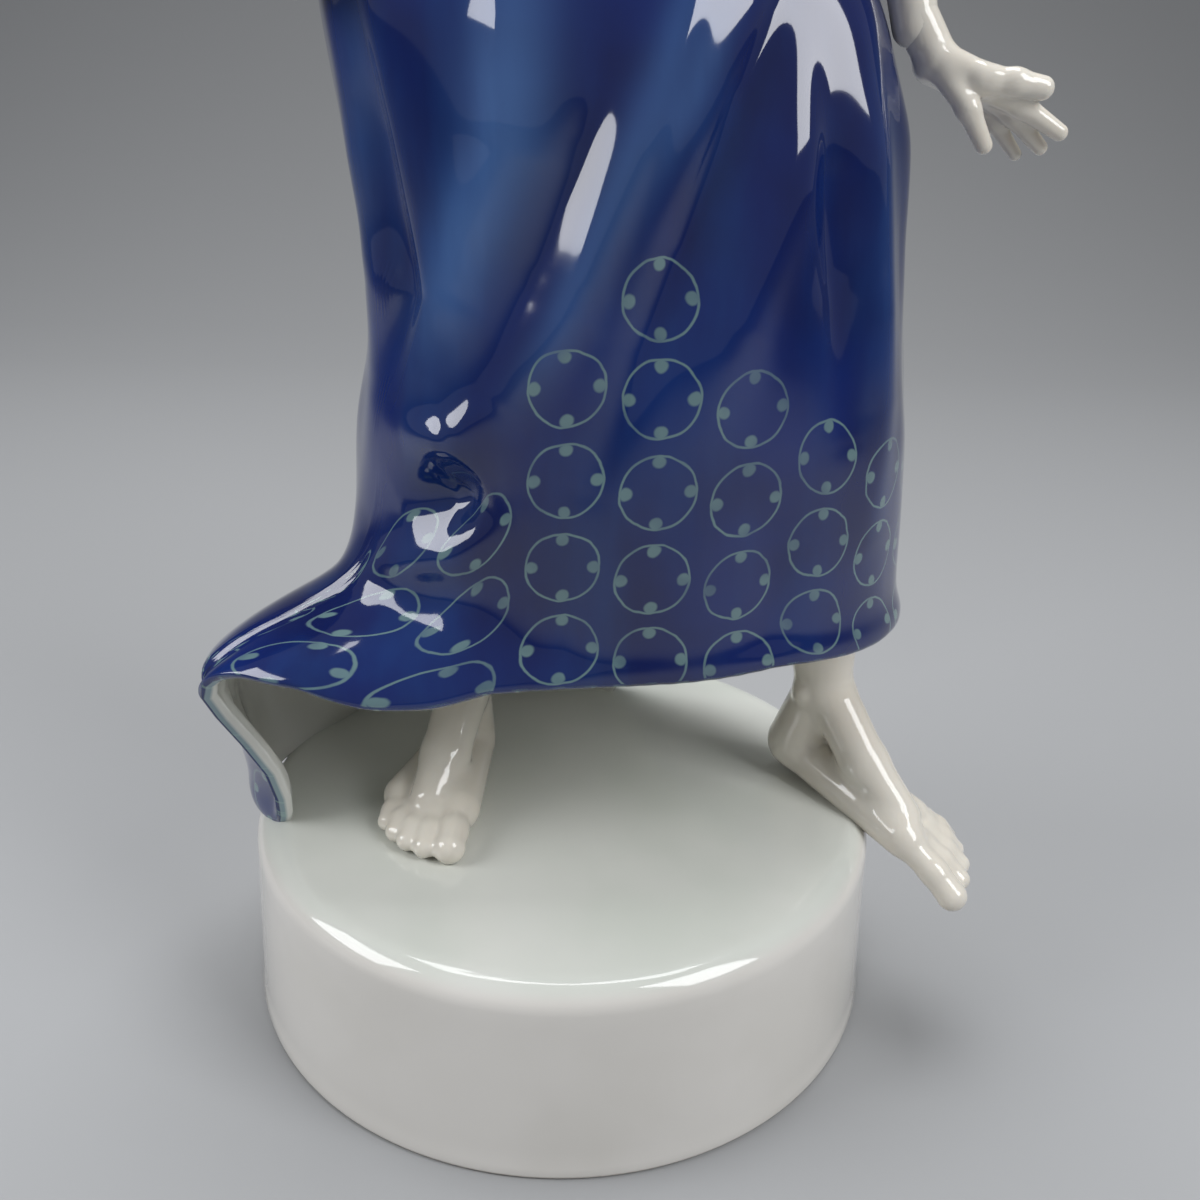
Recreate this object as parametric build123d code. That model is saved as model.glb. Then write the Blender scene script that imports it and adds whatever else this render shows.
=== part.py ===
"""Porcelain figurine of a striding woman in a long blue dress, on a round plinth.

The figurine is built as a potter builds it: hollow castings and solid pressings, each made apart and
luted to its neighbours with slip. Millimetres, +Z up. The origin is the centre of the plinth's foot ring,
and the figure faces -Y, so its right hand side is towards -X.
"""

import os
from math import cos, exp, hypot, pi, radians, sin

from build123d import *

# Driving dimensions
PLINTH_RADIUS = 60.0
PLINTH_FOOT_RADIUS = 61.7
PLINTH_HEIGHT = 38.5
PLINTH_WALL = 5.0
RIM_ROUND = 4.0
FOOT_RING_WIDTH = 6.0
FOOT_RING_CHAMFER = 0.8
CLOTH = 3.0  # wall of the cast dress
HEM_HEIGHT = 79.0
INNER_FLOOR_HEIGHT = 92.0
INNER_FLOOR_THICKNESS = 4.0
VENT_RADIUS = 3.0
BODICE_WALL = 4.0
SASH_WIDTH = 8.0
WAIST_HEIGHT = 222.0
NECKLINE_HEIGHT = 263.0
NECK_TOP_HEIGHT = 290.0
SECTION_POINTS = 28


# ---------------------------------------------------------------- helpers


def closed_curve(points):
    """A face inside one smooth closed curve through the points."""
    return Face(Wire([Edge.make_spline(points, periodic=True)]))


def oval(x, y, z, half_width, half_depth, points=16):
    """A horizontal oval face centred on (x, y) at height z."""
    turns = [2 * pi * i / points for i in range(points)]
    return closed_curve([Vector(x + half_width * cos(t), y + half_depth * sin(t), z) for t in turns])


def stack(sections):
    """A smooth solid through faces or wires, lowest first."""
    return Solid.make_loft([s.outer_wire() if isinstance(s, Face) else s for s in sections])


def limb(stations):
    """A rounded limb through (x, y, z, radius) stations, each circle square to the path there."""
    centres = [Vector(*s[:3]) for s in stations]
    wires = []
    for i, station in enumerate(stations):
        ahead = centres[min(i + 1, len(centres) - 1)]
        behind = centres[max(i - 1, 0)]
        plane = Plane(origin=centres[i], x_dir=(0, 1, 0.001), z_dir=ahead - behind)
        wires.append(Wire.make_circle(station[3], plane))
    return Solid.make_loft(wires)


def capsule(start, end, start_radius, end_radius):
    """A finger or toe: a tapered rod with a ball at each end."""
    start, end = Vector(*start), Vector(*end)
    length = (end - start).length
    rod = Pos(0, 0, length / 2) * Cone(start_radius, end_radius, length)
    whole = Sphere(start_radius) + rod + Pos(0, 0, length) * Sphere(end_radius)
    frame = Plane(origin=start, x_dir=(0.1, 1, 0.03), z_dir=end - start)
    return frame * whole.solid()


def ellipsoid(centre, radii, tilt=(0, 0, 0)):
    """A sphere stretched to three half sizes, then tilted and placed."""
    ball = Sphere(1.0).solid()
    stretched = scale(ball, by=radii)
    return Pos(*centre) * (Rot(*tilt) * stretched)


def one_solid(shape):
    """The largest solid of a cut, without the crumbs a cut can leave."""
    return max(shape.solids(), key=lambda s: s.volume)


# ---------------------------------------------------------------- plinth


def make_plinth():
    """A hollow cast drum, open underneath, standing on a flat unglazed foot ring."""
    wall_top = PLINTH_HEIGHT - RIM_ROUND
    inner = PLINTH_RADIUS - PLINTH_WALL
    ceiling = PLINTH_HEIGHT - PLINTH_WALL
    half = RIM_ROUND * 0.7071
    rim = ThreePointArc(
        (PLINTH_RADIUS, wall_top),
        (PLINTH_RADIUS - RIM_ROUND + half, wall_top + half),
        (PLINTH_RADIUS - RIM_ROUND, PLINTH_HEIGHT),
    )
    corner = ThreePointArc(
        (inner - RIM_ROUND, ceiling),
        (inner - RIM_ROUND + half, ceiling - RIM_ROUND + half),
        (inner, ceiling - RIM_ROUND),
    )
    ring_inner = PLINTH_FOOT_RADIUS - FOOT_RING_WIDTH
    outline = [
        Line((0, PLINTH_HEIGHT), (0, ceiling)),
        Line((0, ceiling), (inner - RIM_ROUND, ceiling)),
        corner,
        Line((inner, ceiling - RIM_ROUND), (ring_inner, 0)),
        Line((ring_inner, 0), (PLINTH_FOOT_RADIUS - FOOT_RING_CHAMFER, 0)),
        Line((PLINTH_FOOT_RADIUS - FOOT_RING_CHAMFER, 0), (PLINTH_FOOT_RADIUS, FOOT_RING_CHAMFER)),
        Line((PLINTH_FOOT_RADIUS, FOOT_RING_CHAMFER), (PLINTH_RADIUS, wall_top)),
        rim,
        Line((PLINTH_RADIUS - RIM_ROUND, PLINTH_HEIGHT), (0, PLINTH_HEIGHT)),
    ]
    profile = Plane.XZ * make_face(outline)
    return revolve(profile, Axis.Z, 360).solid()


# ---------------------------------------------------------------- dress

# The dress's level sections: height, right side x, left side x, front y, back y,
# then the train's reach beyond the body, its bearing in degrees and its half spread in degrees.
DRESS_LEVELS = [
    (34.0, -34.0, 60.0, -30.0, 40.0, 25.0, 178.0, 46.0),
    (50.0, -35.0, 60.0, -30.5, 39.0, 27.5, 184.0, 42.0),
    (62.0, -37.0, 60.5, -31.0, 38.0, 30.0, 191.0, 36.0),
    (74.0, -38.0, 61.0, -31.5, 37.0, 32.0, 199.0, 29.0),
    (82.0, -38.5, 60.5, -32.0, 36.0, 21.0, 203.0, 26.0),
    (86.0, -38.5, 60.0, -32.3, 35.5, 8.0, 204.0, 25.0),
    (90.0, -38.5, 59.5, -32.5, 35.0, 1.5, 205.0, 24.0),
    (100.0, -37.8, 59.0, -33.0, 34.5, 0.0, 205.0, 24.0),
    (114.0, -36.8, 58.5, -33.0, 34.0, 0.0, 205.0, 24.0),
    (130.0, -34.2, 55.5, -33.0, 33.0, 0.0, 205.0, 24.0),
    (146.0, -33.6, 53.2, -32.0, 32.0, 0.0, 205.0, 24.0),
    (162.0, -36.2, 52.5, -31.0, 31.0, 0.0, 205.0, 24.0),
    (178.0, -39.4, 47.0, -29.0, 29.0, 0.0, 205.0, 24.0),
    (192.0, -39.5, 39.0, -26.0, 26.5, 0.0, 205.0, 24.0),
    (204.0, -33.0, 32.0, -22.5, 23.0, 0.0, 205.0, 24.0),
    (214.0, -26.0, 26.0, -18.5, 19.0, 0.0, 205.0, 24.0),
    (WAIST_HEIGHT, -22.5, 22.5, -16.0, 16.5, 0.0, 205.0, 24.0),
]


def dress_section(level, inset):
    """One level section of the dress, drawn in by inset for the inner face of its wall."""
    z, right, left, front, back, reach, bearing, spread = level
    cx, cy = (right + left) / 2, (front + back) / 2
    a, b = (left - right) / 2, (back - front) / 2
    points = []
    for i in range(SECTION_POINTS):
        turn = 360 * i / SECTION_POINTS
        away = (turn - bearing + 180) % 360 - 180
        t = radians(turn)
        r = 1 / hypot(cos(t) / a, sin(t) / b) + reach * exp(-((away / spread) ** 2)) - inset
        points.append(Vector(cx + r * cos(t), cy + r * sin(t), z))
    return closed_curve(points)


def dress_body(inset):
    """The whole dress as one solid, for its outer face or, drawn in by inset, its inner face."""
    return stack([dress_section(level, inset) for level in DRESS_LEVELS])


def prism(outline, near, far):
    """A block with an outline drawn in X and Z, standing from y = near to y = far."""
    face = Face(Wire.make_polygon([Vector(x, near, z) for x, z in outline]))
    return Solid.extrude(face, Vector(0, far - near, 0))


def hem_cutter():
    """What is open below the hem: level along the front and left, rising from the plinth behind,
    and arched over the plinth's right edge in front of the train."""
    low = PLINTH_HEIGHT - 12
    front = [(-12, low), (72, low), (72, 79), (52, 79.5), (36, 81), (14, 79.5), (0, 78.3), (-12, 77.8)]
    back = [(4, low), (72, low), (72, 80), (50, 78), (34, 70), (20, 54), (10, PLINTH_HEIGHT)]
    arch = [(-12, low), (-12, 77.8), (-22, 75.4), (-32, 75.4), (-42, 78), (-52, 78), (-60, 75), (-72, 74), (-72, low)]
    under_train = prism(arch, -60, 0)
    lean = Plane(origin=(0, -15.5, PLINTH_HEIGHT), x_dir=(1, 0, 0), z_dir=(0, 1, 0.26))
    in_front = under_train.split(lean, keep=Keep.BOTTOM)
    hollow_side = prism([(-12, low), (12, low), (12, 78.5), (0, 78.3), (-12, 77.8)], -60, 4)
    return prism(front, -60, 2) + prism(back, 0, 60) + in_front + hollow_side


def make_dress(plinth):
    """The hollow skirt, the train luted to its lower right side, and the plate that closes it inside."""
    outer = dress_body(0)
    inner = dress_body(CLOTH)
    shell = outer - inner - hem_cutter() - plinth
    shell = one_solid(shell)
    below_plinth_top = Pos(0, 0, PLINTH_HEIGHT - 25) * Box(200, 200, 50)
    shell = one_solid(shell - below_plinth_top)
    seam = Plane(origin=(-30, 0, 93), x_dir=(0, 1, 0), z_dir=(0.75, 0, 0.66))
    skirt = one_solid(shell.split(seam, keep=Keep.TOP))
    train = one_solid(shell.split(seam, keep=Keep.BOTTOM))
    slab = Pos(0, 0, INNER_FLOOR_HEIGHT + INNER_FLOOR_THICKNESS / 2) * Box(200, 200, INNER_FLOOR_THICKNESS)
    vent = Pos(8, 14, INNER_FLOOR_HEIGHT) * Cylinder(VENT_RADIUS, 4 * INNER_FLOOR_THICKNESS)
    floor = one_solid((inner & slab) - vent)
    return skirt, train, floor


# ---------------------------------------------------------------- legs and feet


def foot(heel, ball, toe, ankle, knee, width):
    """A leg stub and its foot: a limb from the knee end down to the heel, and a wedge out to the toes."""
    shin = limb([(*knee, 9.0), ((knee[0] + ankle[0]) / 2, (knee[1] + ankle[1]) / 2, (knee[2] + ankle[2]) / 2, 8.0),
                 (*ankle, 6.3), (heel[0], heel[1], heel[2] + 1.5, 6.6)])
    out = (Vector(*toe) - Vector(*heel)).normalized()
    across = Vector(0, 0, 1).cross(out).normalized()
    sections = []
    shape = [(heel, 6.2, 6.6), (ball, width, 5.2), (toe, width * 0.86, 2.8)]
    for centre, half_width, half_height in shape:
        plane = Plane(origin=Vector(*centre), x_dir=across, z_dir=out)
        sections.append(Wire([Edge.make_ellipse(half_width, half_height, plane)]))
    sole = Solid.make_loft(sections)
    tip = ellipsoid(toe, (width * 0.84, 2.8, 2.7), (0, 0, 0))
    return shin + sole, tip


def toes(first, last, out, radii, length):
    """A row of toes from the big toe to the small one, each one capsule pointing along out."""
    row = []
    for i, radius in enumerate(radii):
        share = i / (len(radii) - 1)
        start = [f + (g - f) * share for f, g in zip(first, last)]
        reach = length * (1 - 0.28 * share)
        row.append(capsule(start, [s + o * reach for s, o in zip(start, out)], radius, radius * 0.85))
    return row


def make_legs(plinth):
    """Right leg standing flat on the plinth, left leg stepping off its edge with the toes hanging over."""
    ground = Pos(0, 0, PLINTH_HEIGHT - 25) * Box(300, 300, 50)
    roof = Pos(0, 0, INNER_FLOOR_HEIGHT + 25) * Box(300, 300, 50)
    right, _ = foot((-20.5, 8, 44), (-24.5, -12, 41.6), (-25.5, -20, 40.8), (-20.5, 4, 57), (-19, 4, 94), 7.4)
    for toe in toes((-19.5, -17, 41.4), (-31.5, -13, 41), (-0.08, -1.0, -0.05), (2.9, 2.2, 2.1, 2.0, 1.9), 8):
        right = right + toe
    right = one_solid(right - ground - roof)
    left, _ = foot((47.5, 6, 44), (63, -12, 36.5), (68.5, -18, 32.5), (51.5, 3, 58), (47, 4, 94), 7.2)
    for toe in toes((66.5, -21.5, 31.8), (72.5, -12.5, 32), (0.66, -0.6, -0.42), (2.8, 2.1, 2.0, 1.9, 1.8), 7):
        left = left + toe
    left = one_solid(left - roof - plinth)
    inside_plinth = Pos(0, 0, PLINTH_HEIGHT / 2) * Cylinder(PLINTH_RADIUS - RIM_ROUND, PLINTH_HEIGHT)
    return right, one_solid(left - inside_plinth)


# ---------------------------------------------------------------- body, arms and head


# The bodice's level sections: centre x, centre y, height, half width, half depth.
BODICE_LEVELS = [
    (0.0, 0.0, WAIST_HEIGHT, 22.0, 16.0),
    (0.5, 0.0, 232.0, 22.5, 16.5),
    (1.0, -0.5, 244.0, 24.5, 18.5),
    (1.0, -1.0, 254.0, 26.0, 20.0),
    (0.5, 0.0, NECKLINE_HEIGHT, 26.5, 17.5),
]
# The shoulders' and neck's level sections, in the same order.
NECK_LEVELS = [
    (0.5, 0.0, NECKLINE_HEIGHT, 26.5, 17.5),
    (0.5, 1.0, 270.0, 28.5, 13.5),
    (0.5, 2.0, 276.0, 20.0, 10.5),
    (0.5, 2.0, 281.0, 9.8, 8.6),
    (0.6, 1.2, NECK_TOP_HEIGHT, 8.0, 8.0),
]


def torso_form(levels, inset):
    """A solid through the level sections, drawn in by inset."""
    return stack([oval(x, y, z, width - inset, depth - inset) for x, y, z, width, depth in levels])


def make_bodice():
    """The hollow bodice, open at the waist and at the neckline for the casting to drain."""
    return one_solid(torso_form(BODICE_LEVELS, 0) - torso_form(BODICE_LEVELS, BODICE_WALL))


def make_sash():
    """The pressed waistband around the foot of the bodice, resting on the top edge of the skirt."""
    top = WAIST_HEIGHT + SASH_WIDTH
    middle = WAIST_HEIGHT + SASH_WIDTH / 2
    wide = stack([oval(0, 0, WAIST_HEIGHT, 25, 18.4), oval(0, 0, middle, 25.8, 19.2), oval(0.2, 0, top, 25.2, 18.8)])
    core = stack([oval(0, 0, WAIST_HEIGHT, 22.2, 16.2), oval(0.4, 0, top, 22.9, 16.9)])
    return one_solid(wide - core)


def make_neck():
    """Shoulders and neck in one hollow casting, with a bore that takes the head's spigot."""
    shape = torso_form(NECK_LEVELS, 0)
    bore = Pos(0.6, 1.2, NECK_TOP_HEIGHT - 10) * Cylinder(3.5, 60)
    return one_solid(shape - bore)


def make_head():
    """The head, with the spigot that is luted into the neck."""
    skull = ellipsoid((0.6, 0, 311), (13.2, 15.5, 20.0))
    face = ellipsoid((0.6, -6, 304), (9.5, 9.5, 12.5))
    nose = capsule((0.6, -15.2, 309), (0.6, -17.2, 304.5), 1.2, 1.7)
    jaw_base = Pos(0.6, 1.2, NECK_TOP_HEIGHT - 25) * Box(60, 60, 50)
    whole = one_solid((skull + face + nose) - jaw_base)
    spigot = Pos(0.6, 1.2, NECK_TOP_HEIGHT - 3) * Cylinder(3.4, 10)
    return one_solid(whole + spigot)


def make_hair(head, neck):
    """The hair as a pressed cap over the back and top of the head, and the bun luted to it."""
    cap = ellipsoid((0.6, 1.2, 313.5), (15.4, 17.0, 19.8))
    face_opening = Pos(0.6, -19, 302) * (Rot(X=-12) * Box(60, 30, 34))
    cap = cap - face_opening - head - neck
    bun = ellipsoid((0.6, 19.0, 317), (9.0, 7.5, 8.5))
    cap = one_solid(cap)
    return cap, one_solid(bun - cap)


def make_arms():
    """Both arms with their hands and the short sleeves."""
    left_arm = limb([(27, 2, 271, 8.0), (33, 3, 256, 7.4), (40.5, 5, 230, 6.0), (42.5, 5, 222, 5.9),
                     (46.8, 2, 204, 5.4), (49.6, -1.5, 184, 3.9), (51.2, -2.8, 176, 3.6)])
    right_arm = limb([(-27, 2, 271, 8.0), (-34, 5, 256, 7.4), (-46, 11, 235, 6.0), (-48, 11.5, 229, 6.0),
                      (-49.5, 5, 218, 5.4), (-48.5, -6.0, 204, 4.0), (-47.8, -9.2, 200, 3.7)])
    left_puff = ellipsoid((31, 3, 264.5), (11.5, 12.0, 11.5))
    right_puff = ellipsoid((-30, 3, 264.5), (11.5, 12.0, 11.5), (0, 0, 180))
    return left_arm, right_arm, [left_puff, right_puff]


def make_left_hand():
    """Open hand, palm down, held away from the dress."""
    palm = stack_along([((51.4, -2.9, 175.2), 3.6, 3.4), ((55.5, -3.5, 171.5), 3.4, 5.2), ((61.5, -4.5, 168.0), 2.7, 6.8),
                        ((65.0, -5.0, 166.4), 2.2, 6.4)])
    fingers = [
        ((64.0, -9.6, 165.6), (73.8, -10.5, 161.8), 1.9, 1.45),
        ((64.6, -6.4, 167.2), (71.0, -6.0, 167.2), 2.0, 1.75),
        ((64.4, -2.8, 167.0), (73.5, -1.0, 160.5), 1.9, 1.4),
        ((63.2, 0.2, 166.4), (70.6, 3.0, 159.4), 1.7, 1.25),
        ((57.0, -8.2, 169.0), (62.8, -11.0, 160.8), 2.0, 1.5),
    ]
    hand = palm
    for finger in fingers:
        hand = hand + capsule(*finger)
    return one_solid(hand)


def stack_along(stations):
    """A loft through ellipses (centre, half thickness, half width) that turn with the path."""
    centres = [Vector(*s[0]) for s in stations]
    wires = []
    for i, (_, thickness, width) in enumerate(stations):
        direction = centres[min(i + 1, len(centres) - 1)] - centres[max(i - 1, 0)]
        plane = Plane(origin=centres[i], x_dir=(0, 1, 0), z_dir=direction)
        wires.append(Wire([Edge.make_ellipse(width, thickness, plane)]))
    return Solid.make_loft(wires)


def make_right_hand():
    """Hand resting on the hip, its fingers closed on a pinch of the skirt."""
    palm = stack_along([((-47.7, -9.3, 199.6), 3.5, 3.6), ((-46.8, -12.0, 195.0), 3.3, 5.0), ((-45.2, -13.8, 189.0), 2.9, 6.2),
                        ((-43.8, -14.6, 185.5), 2.4, 5.8)])
    hand = palm
    for i in range(4):
        across = -10.0 - 3.1 * i
        hand = hand + capsule((-44.4, across, 187.0 - 0.4 * i), (-40.4 + 0.4 * i, across - 0.5, 178.5 + 0.8 * i), 1.9, 1.5)
    hand = hand + capsule((-45.5, -16.0, 193.0), (-39.5, -21.0, 187.5), 2.0, 1.6)
    return one_solid(hand)


# ---------------------------------------------------------------- assembly


def main():
    os.makedirs("parts", exist_ok=True)
    plinth = make_plinth()
    dress_form = dress_body(0)
    bodice_form = torso_form(BODICE_LEVELS, 0)
    torso = bodice_form + torso_form(NECK_LEVELS, 0)
    skirt, train, inner_floor = make_dress(plinth)
    right_leg, left_leg = make_legs(plinth)
    neck = make_neck()
    head = make_head()
    hair, bun = make_hair(head, neck)
    left_arm, right_arm, puffs = make_arms()
    left_arm = one_solid(left_arm - puffs[0] - torso - dress_form)
    right_arm = one_solid(right_arm - puffs[1] - torso - dress_form)
    pieces = {
        "plinth": plinth,
        "skirt": skirt,
        "train": train,
        "skirt_inner_floor": inner_floor,
        "right_leg": right_leg,
        "left_leg": left_leg,
        "bodice": make_bodice(),
        "sash": make_sash(),
        "neck_and_shoulders": neck,
        "head": head,
        "hair_cap": hair,
        "hair_bun": bun,
        "left_sleeve": one_solid(puffs[0] - torso),
        "right_sleeve": one_solid(puffs[1] - torso),
        "left_arm": left_arm,
        "right_arm": right_arm,
        "left_hand": one_solid(make_left_hand() - left_arm - dress_form),
        "right_hand": one_solid(make_right_hand() - dress_form - right_arm),
    }
    for name, solid in pieces.items():
        export_step(solid, f"parts/{name}.step")


main()
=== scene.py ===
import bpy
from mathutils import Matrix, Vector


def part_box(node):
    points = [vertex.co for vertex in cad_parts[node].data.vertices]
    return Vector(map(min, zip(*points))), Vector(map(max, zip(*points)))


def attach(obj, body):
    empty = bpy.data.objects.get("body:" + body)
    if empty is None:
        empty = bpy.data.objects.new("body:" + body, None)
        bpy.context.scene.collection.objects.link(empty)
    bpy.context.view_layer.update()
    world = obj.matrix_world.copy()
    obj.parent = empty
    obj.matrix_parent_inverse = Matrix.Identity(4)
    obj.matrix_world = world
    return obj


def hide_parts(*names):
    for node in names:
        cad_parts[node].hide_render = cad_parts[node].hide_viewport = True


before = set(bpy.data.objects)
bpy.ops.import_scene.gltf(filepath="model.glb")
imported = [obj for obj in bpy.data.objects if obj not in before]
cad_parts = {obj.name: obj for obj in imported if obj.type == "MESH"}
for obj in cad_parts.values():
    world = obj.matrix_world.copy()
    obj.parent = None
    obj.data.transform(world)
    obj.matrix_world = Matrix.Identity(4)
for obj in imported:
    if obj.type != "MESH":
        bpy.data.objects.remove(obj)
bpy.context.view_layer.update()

# Looks of the porcelain figurine. Lengths below are in millimetres in the frame's own axes, and mesh_object
# turns them into metres. The figure faces -Y, so its own left is towards +X.

import math

import bmesh
import bpy
import numpy as np
from mathutils import Matrix, Vector

MM = 0.001


def node_box(node):
    low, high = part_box(node)
    return np.array(low) / MM, np.array(high) / MM


PLINTH_LOW, PLINTH_HIGH = node_box("plinth")
PLINTH_TOP = PLINTH_HIGH[2]
FOOT_RADIUS = PLINTH_HIGH[0]
PLINTH_RADIUS = FOOT_RADIUS - 1.7
WAIST = node_box("skirt")[1][2]
NECKLINE = node_box("bodice")[1][2]
NECK_TOP = node_box("neck_and_shoulders")[1][2]
INNER_CEILING = node_box("skirt_inner_floor")[0][2]
CLOTH = 3.0

# ------------------------------------------------------------------ meshes


def mesh_object(name, verts, faces, material=None, recalc=True):
    """A smooth-shaded mesh from millimetre points, its normals turned outwards."""
    mesh = bpy.data.meshes.new(name)
    mesh.from_pydata((np.asarray(verts) * MM).tolist(), [], [list(map(int, f)) for f in faces])
    if recalc:
        form = bmesh.new()
        form.from_mesh(mesh)
        bmesh.ops.recalc_face_normals(form, faces=form.faces)
        form.to_mesh(mesh)
        form.free()
    mesh.polygons.foreach_set("use_smooth", [True] * len(mesh.polygons))
    obj = bpy.data.objects.new(name, mesh)
    bpy.context.scene.collection.objects.link(obj)
    if material:
        mesh.materials.append(material)
    return obj


def ring_faces(rows, cols):
    """Quads between successive closed rings of points."""
    i, j = np.meshgrid(np.arange(rows - 1), np.arange(cols), indexing="ij")
    k = (j + 1) % cols
    quads = np.stack([i * cols + j, i * cols + k, (i + 1) * cols + k, (i + 1) * cols + j], -1)
    return quads.reshape(-1, 4)


def capped_rings(name, rings, material):
    """A closed surface through rings of points, with a fan over each end."""
    rows, cols = rings.shape[:2]
    verts = np.vstack([rings.reshape(-1, 3), rings[0].mean(0), rings[-1].mean(0)])
    faces = ring_faces(rows, cols).tolist()
    low, high = rows * cols, rows * cols + 1
    last = (rows - 1) * cols
    for j in range(cols):
        k = (j + 1) % cols
        faces.append([low, k, j])
        faces.append([high, last + j, last + k])
    return mesh_object(name, verts, faces, material)


def dress_up(piece, slot, *nodes):
    """Fix a finished piece to the figurine, in place of the CAD nodes it stands for."""
    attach(piece, "root")
    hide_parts(*nodes)
    return piece


# ------------------------------------------------------------------ modelled forms

# A modelled form is a smooth union of rods and eggs, as clay is built up from rolls and pellets.


def rod(a, b, ra, rb):
    return ("rod", np.array(a, float), np.array(b, float), float(ra), float(rb))


def egg(centre, radii, tilt=(0, 0, 0)):
    about_x, about_y, about_z = [Matrix.Rotation(math.radians(a), 3, n) for a, n in zip(tilt, "XYZ")]
    turn = np.array(about_z @ about_y @ about_x)
    return ("egg", np.array(centre, float), np.array(radii, float), turn)


def chain(points, radii):
    return [rod(a, b, ra, rb) for a, b, ra, rb in zip(points, points[1:], radii, radii[1:])]


def distance(p, part):
    if part[0] == "rod":
        _, a, b, ra, rb = part
        along = np.clip((p - a) @ (b - a) / ((b - a) @ (b - a)), 0, 1)
        return np.linalg.norm(p - a - along[:, None] * (b - a), axis=1) - (ra + (rb - ra) * along)
    _, centre, radii, turn = part
    q = (p - centre) @ turn
    near = np.linalg.norm(q / radii, axis=1)
    return near * (near - 1) / np.maximum(np.linalg.norm(q / radii**2, axis=1), 1e-6)


def blend_union(d, e, k):
    h = np.clip(0.5 + 0.5 * (e - d) / k, 0, 1)
    return e * (1 - h) + d * h - k * h * (1 - h)


def field(p, parts, dents, k, floor):
    d = distance(p, parts[0])
    for part in parts[1:]:
        d = blend_union(d, distance(p, part), k)
    for part in dents:
        d = -blend_union(-d, distance(p, part), k)
    if floor is not None:
        d = -blend_union(-d, p[:, 2] - floor, 0.6)
    return d


def part_mesh(part, segments=20, rings=12):
    """A stretched ball: each half follows its own end of a rod."""
    lat = np.pi * np.arange(1, rings) / rings
    lon = 2 * np.pi * np.arange(segments) / segments
    ball = np.stack([np.outer(np.sin(lat), np.cos(lon)), np.outer(np.sin(lat), np.sin(lon)),
                     np.outer(np.cos(lat), np.ones(segments))], -1).reshape(-1, 3)
    ball = np.vstack([ball, [0, 0, 1], [0, 0, -1]])
    faces = ring_faces(rings - 1, segments).tolist()
    top, low = len(ball) - 2, len(ball) - 1
    last = (rings - 2) * segments
    for j in range(segments):
        k = (j + 1) % segments
        faces.append([top, j, k])
        faces.append([low, last + k, last + j])
    if part[0] == "egg":
        return (ball * part[2]) @ part[3].T + part[1], faces
    _, a, b, ra, rb = part
    axis = Vector(b - a)
    turn = np.array(axis.to_track_quat("Z", "Y").to_matrix())
    turned = ball @ turn.T
    far = (ball[:, 2] > 0)[:, None]
    return np.where(far, b + turned * rb, a + turned * ra), faces


def modelled(name, parts, material, k=1.5, voxel=0.5, dents=(), floor=None, ripple=None):
    """One smooth closed skin over all the parts."""
    verts, faces, count = [], [], 0
    for part in parts:
        v, f = part_mesh(part)
        verts.append(v)
        faces += [[i + count for i in face] for face in f]
        count += len(v)
    rough = mesh_object(name + "_rough", np.vstack(verts), faces)
    remesh = rough.modifiers.new("Remesh", "REMESH")
    remesh.mode = "VOXEL"
    remesh.voxel_size = voxel * MM
    graph = bpy.context.evaluated_depsgraph_get()
    skin = bpy.data.meshes.new_from_object(rough.evaluated_get(graph))
    co = np.zeros(len(skin.vertices) * 3)
    skin.vertices.foreach_get("co", co)
    p = co.reshape(-1, 3) / MM
    polygons = [list(q.vertices) for q in skin.polygons]
    bpy.data.objects.remove(rough)
    bpy.data.meshes.remove(skin)
    step = 0.05
    for _ in range(8):
        d = field(p, parts, dents, k, floor)
        slope = np.stack([(field(p + step * e, parts, dents, k, floor) - d) / step for e in np.eye(3)], -1)
        size = np.maximum((slope**2).sum(1), 0.2)
        p = p - np.clip(d / size, -0.6, 0.6)[:, None] * slope
    if ripple:
        unit = slope / np.linalg.norm(slope, axis=1)[:, None]
        p = p + unit * ripple(p)[:, None]
    return mesh_object(name, p, polygons, material)


# ------------------------------------------------------------------ glazes


def shader(name):
    material = bpy.data.materials.new(name)
    material.use_nodes = True
    nodes, links = material.node_tree.nodes, material.node_tree.links
    principled = nodes["Principled BSDF"]
    principled.inputs["Roughness"].default_value = 0.07
    principled.inputs["IOR"].default_value = 1.5
    principled.inputs["Coat Weight"].default_value = 0.35
    principled.inputs["Coat Roughness"].default_value = 0.03
    return material, nodes, links, principled


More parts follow.
